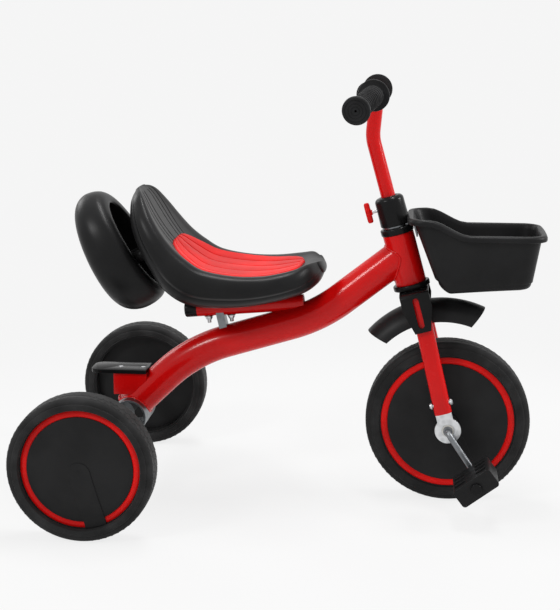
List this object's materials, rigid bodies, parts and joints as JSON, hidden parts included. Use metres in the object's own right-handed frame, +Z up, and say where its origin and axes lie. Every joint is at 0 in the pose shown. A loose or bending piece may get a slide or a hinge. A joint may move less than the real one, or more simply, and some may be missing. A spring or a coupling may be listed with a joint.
{
  "type": "children's tricycle",
  "caption": "Children's pedal tricycle with a curved tube frame, bucket seat with rear bin, turning fork with front basket, cranked front wheel and adjustable handlebar.",
  "frame": {"origin": "on the floor, at the middle of the tricycle's length and width", "axes": "+X forward, +Y the rider's left, +Z up; steering straight ahead"},
  "size_m": [0.7543, 0.4908, 0.6453],
  "materials": {
    "red_paint": "gloss powder coat",
    "black_plastic": "fine texture",
    "tyre_rubber": "matt foam rubber",
    "grip_rubber": "soft matt",
    "red_plastic": "satin",
    "zinc_steel": "zinc plated",
    "chrome_steel": "bright",
    "pale_nylon": "satin"
  },
  "bodies": {
    "frame": {"main_tube": "red_paint", "head_tube": "red_paint", "upper_headset_bush": "black_plastic", "lower_headset_bush": "black_plastic", "axle_bracket": "zinc_steel", "axle_sleeve": "black_plastic", "rear_axle": "zinc_steel", "rear_axle_nuts": "zinc_steel", "footboard": "black_plastic", "footboard_bracket": "red_paint", "footboard_screws": "zinc_steel", "seat_bar": "red_paint", "seat_bar_plug": "black_plastic", "seat_stay": "zinc_steel", "seat_bolts": "zinc_steel", "seat_shell": "black_plastic", "seat_pad": "red_plastic", "rear_bin": "black_plastic", "bin_screws": "zinc_steel"},
    "steering": {"steerer_tube": "zinc_steel", "fork_crown": "red_paint", "fork_leg_left": "red_paint", "fork_leg_right": "red_paint", "dropout_left": "zinc_steel", "dropout_right": "zinc_steel", "dropout_bolts": "zinc_steel", "axle_bushes": "pale_nylon", "crown_cover": "black_plastic", "fender": "black_plastic", "fender_screw": "zinc_steel", "steerer_plug": "pale_nylon", "stem_cap": "black_plastic", "basket_strap": "zinc_steel", "basket": "black_plastic", "basket_screws": "zinc_steel"},
    "handlebar": {"stem_tube": "red_paint", "handlebar": "red_paint", "grip_left": "grip_rubber", "grip_right": "grip_rubber"},
    "knob": {"clamp_knob": "red_plastic", "clamp_screw": "zinc_steel"},
    "front_wheel": {"front_tyre": "tyre_rubber", "front_rim": "black_plastic", "front_cover_left": "black_plastic", "front_cover_right": "black_plastic", "front_ring_left": "red_plastic", "front_ring_right": "red_plastic", "crank_axle": "chrome_steel", "crank_collars": "zinc_steel", "pedal_caps": "black_plastic"},
    "pedal_left": {"pedal_left": "black_plastic"},
    "pedal_right": {"pedal_right": "black_plastic"},
    "rear_wheel_left": {"rear_tyre_left": "tyre_rubber", "rear_rim_left": "black_plastic", "rear_cover_left": "black_plastic", "rear_ring_left": "red_plastic"},
    "rear_wheel_right": {"rear_tyre_right": "tyre_rubber", "rear_rim_right": "black_plastic", "rear_cover_right": "black_plastic", "rear_ring_right": "red_plastic"}
  },
  "joints": [
    {"name": "steering_turn", "type": "hinge", "parent": "frame", "child": "steering", "pos_m": [0.241, 0, 0.125], "axis": [-0.2672, 0, 0.9636], "range_deg": [-45, 45]},
    {"name": "handlebar_height", "type": "slide", "parent": "steering", "child": "handlebar", "axis": [-0.2672, 0, 0.9636], "range_m": [-0.03, 0.03]},
    {"name": "knob_turn", "type": "hinge", "parent": "steering", "child": "knob", "pos_m": [0.15067, 0, 0.45071], "axis": [-0.9636, 0, -0.2672], "range_deg": [0, 360]},
    {"name": "front_wheel_spin", "type": "hinge", "parent": "steering", "child": "front_wheel", "pos_m": [0.241, 0, 0.125], "axis": [0, 1, 0], "continuous": true},
    {"name": "pedal_left_spin", "type": "hinge", "parent": "front_wheel", "child": "pedal_left", "pos_m": [0.20074, 0.115, 0.18469], "axis": [0, 1, 0], "continuous": true},
    {"name": "pedal_right_spin", "type": "hinge", "parent": "front_wheel", "child": "pedal_right", "pos_m": [0.28126, -0.115, 0.06531], "axis": [0, 1, 0], "continuous": true},
    {"name": "rear_wheel_left_spin", "type": "hinge", "parent": "frame", "child": "rear_wheel_left", "pos_m": [-0.275, 0.223, 0.106], "axis": [0, 1, 0], "continuous": true},
    {"name": "rear_wheel_right_spin", "type": "hinge", "parent": "frame", "child": "rear_wheel_right", "pos_m": [-0.275, -0.223, 0.106], "axis": [0, 1, 0], "continuous": true}
  ]
}
